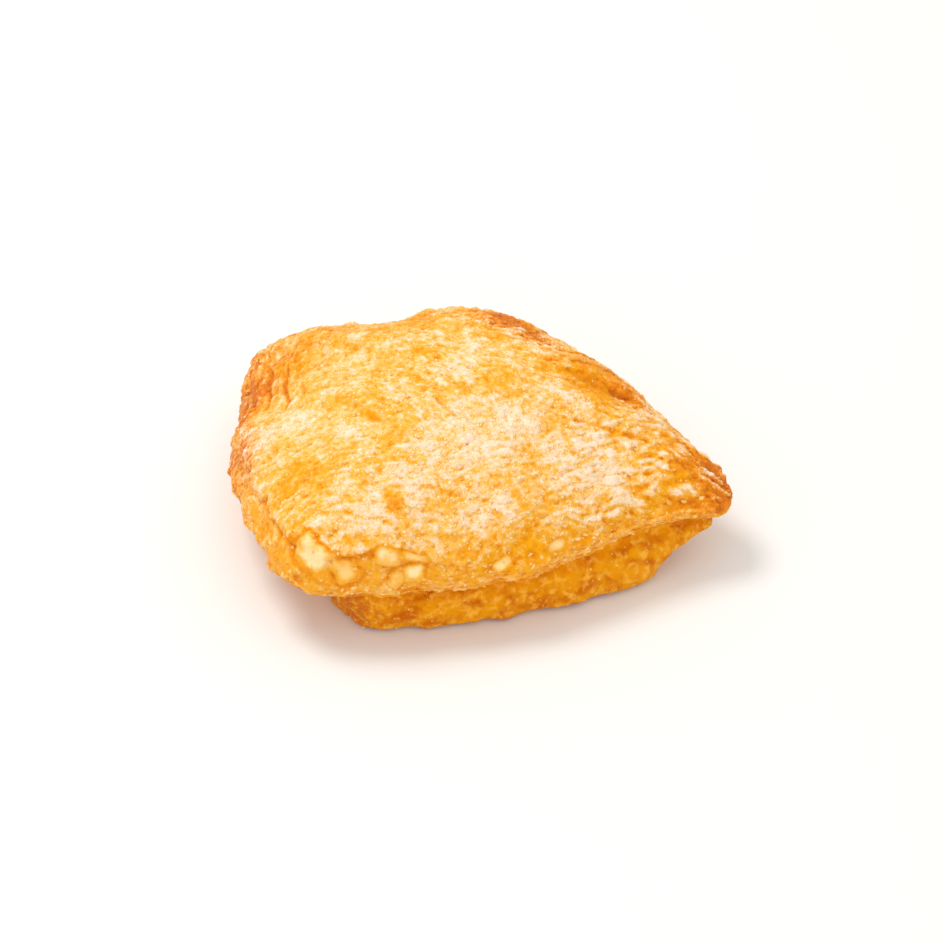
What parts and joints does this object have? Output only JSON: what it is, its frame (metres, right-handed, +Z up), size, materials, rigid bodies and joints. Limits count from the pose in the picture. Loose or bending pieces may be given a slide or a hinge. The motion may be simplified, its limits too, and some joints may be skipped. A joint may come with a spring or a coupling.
{
  "type": "turnover pastry",
  "caption": "Puff pastry turnover folded corner to corner over a filling, with gaping cut edges and a sugared golden crust.",
  "frame": {"origin": "under the middle of the pastry's box, on the surface that it rests on", "axes": "+X along the fold, +Y from the free corner towards the fold, +Z up"},
  "size_m": [0.1388, 0.1036, 0.046],
  "materials": {
    "pastry": "baked, slightly glossy under a crust of sugar"
  },
  "bodies": {
    "root": {"pastry": "pastry"}
  },
  "joints": []
}
